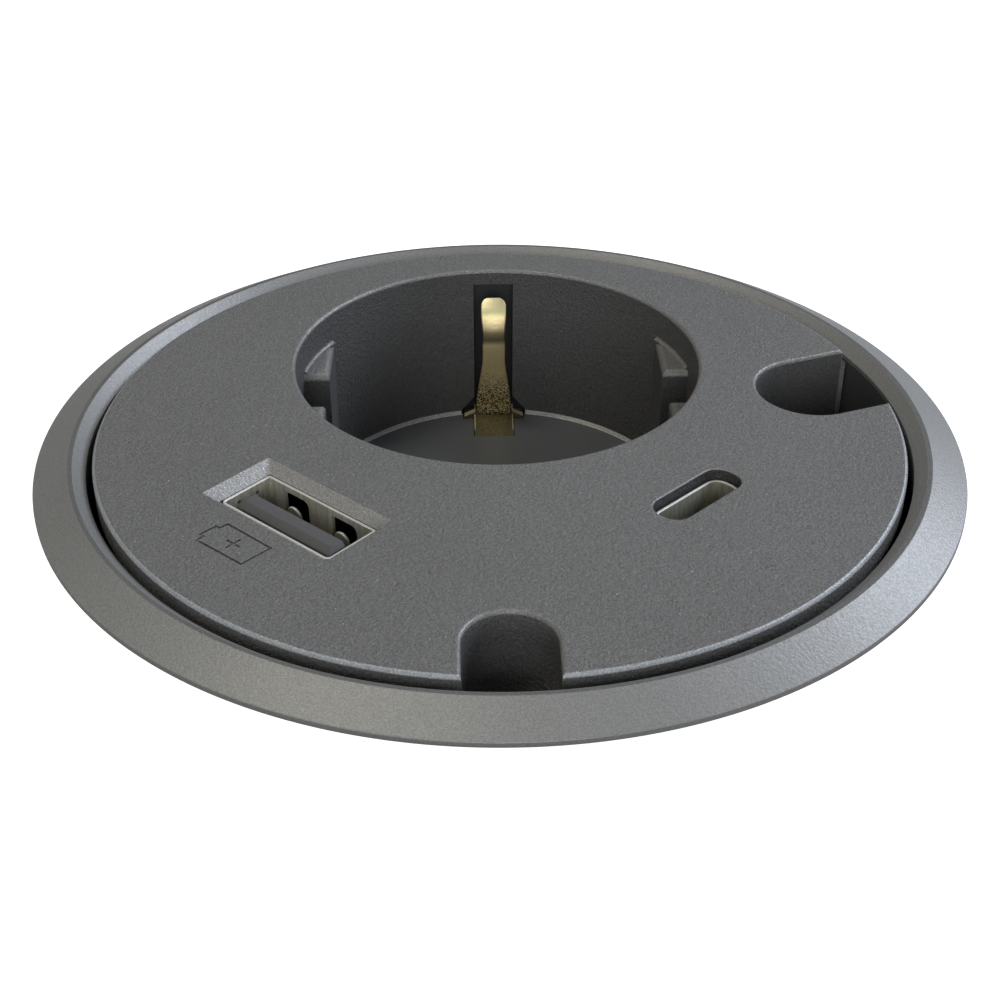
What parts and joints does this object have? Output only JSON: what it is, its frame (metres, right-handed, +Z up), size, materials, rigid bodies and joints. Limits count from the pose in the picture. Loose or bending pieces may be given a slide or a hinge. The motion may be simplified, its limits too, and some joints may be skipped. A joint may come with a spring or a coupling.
{
  "type": "round desk socket",
  "caption": "Round flush desk socket with an earthed mains well, two charging ports, cable notches and a clamping ring nut.",
  "frame": {"origin": "centre of the round cut-out at desk-top level, in the plane of the flange's underside", "axes": "+Z up out of the desk along the cut-out's axis, -Y towards the front cable notch, +X to the right"},
  "size_m": [0.093, 0.093, 0.0522],
  "materials": {
    "ring_paint": "fine-grained satin paint",
    "panel_plastic": "fine matt texture",
    "floor_plastic": "smooth satin",
    "sleeve_plastic": "smooth matt",
    "housing_plastic": "smooth matt",
    "nut_plastic": "smooth matt",
    "washer_rubber": "matt rubber",
    "clip_brass": "stamped, lightly tarnished",
    "contact_brass": "stamped",
    "steel": "plain",
    "usb_nickel": "satin nickel",
    "tongue_plastic": "smooth",
    "gold_contact": "gold flash",
    "carrier_plastic": "smooth",
    "shutter_plastic": "smooth",
    "board": "solder mask",
    "ferrite": "matt",
    "coil_tape": "polyester tape",
    "capacitor": "shrink sleeve",
    "lead_brown": "insulation",
    "lead_blue": "insulation",
    "lead_green_yellow": "insulation"
  },
  "bodies": {
    "root": {"trim_ring": "ring_paint", "mounting_sleeve": "sleeve_plastic", "face_panel": "panel_plastic", "socket_floor": "floor_plastic", "earth_bridge": "clip_brass", "shutter_pivot": "steel", "contact_carrier": "carrier_plastic", "line_contact": "contact_brass", "neutral_contact": "contact_brass", "usb_a_shell": "usb_nickel", "usb_a_tongue": "tongue_plastic", "usb_a_contacts": "gold_contact", "usb_c_shell": "usb_nickel", "usb_c_tongue": "tongue_plastic", "usb_c_riser": "tongue_plastic", "usb_board": "board", "board_screws": "steel", "board_header": "gold_contact", "power_board": "board", "transformer_core": "ferrite", "transformer_coil": "coil_tape", "bulk_capacitors": "capacitor", "input_choke": "ferrite", "rear_housing": "housing_plastic", "housing_screws": "steel", "inlet_insert": "floor_plastic", "inlet_pins": "contact_brass", "line_lead": "lead_brown", "neutral_lead": "lead_blue", "earth_lead": "lead_green_yellow", "charger_leads": "lead_brown"},
    "washer_body": {"clamp_washer": "washer_rubber"},
    "nut_body": {"clamp_nut": "nut_plastic"},
    "shutter": {"shutter_disc": "shutter_plastic", "shutter_spring": "steel"},
    "far_clip": {"earth_clip_far": "clip_brass"},
    "near_clip": {"earth_clip_near": "clip_brass"}
  },
  "joints": [
    {"name": "nut_travel", "type": "slide", "parent": "root", "child": "washer_body", "axis": [0, 0, 1], "range_m": [-0.015, 0.015]},
    {"name": "nut_turn", "type": "hinge", "parent": "washer_body", "child": "nut_body", "pos_m": [0, 0, -0.0306], "axis": [0, 0, 1], "range_deg": [-1800, 1800]},
    {"name": "shutter_turn", "type": "hinge", "parent": "root", "child": "shutter", "pos_m": [0, 0.013, -0.0204], "axis": [0, 0, 1], "range_deg": [0, 36], "stiffness_Nm_per_rad": 0.004, "springref_deg": -11.46},
    {"name": "far_clip_flex", "type": "hinge", "parent": "root", "child": "far_clip", "pos_m": [0, 0.0323, -0.0162], "axis": [-1, 0, 0], "range_deg": [0, 5], "stiffness_Nm_per_rad": 0.2, "springref_deg": -1.15},
    {"name": "near_clip_flex", "type": "hinge", "parent": "root", "child": "near_clip", "pos_m": [0, -0.0063, -0.0162], "axis": [1, 0, 0], "range_deg": [0, 5], "stiffness_Nm_per_rad": 0.2, "springref_deg": -1.15}
  ],
  "couplings": [
    {"joint": "nut_travel", "follows": "nut_turn", "m_per_rad": 0.00047746}
  ]
}
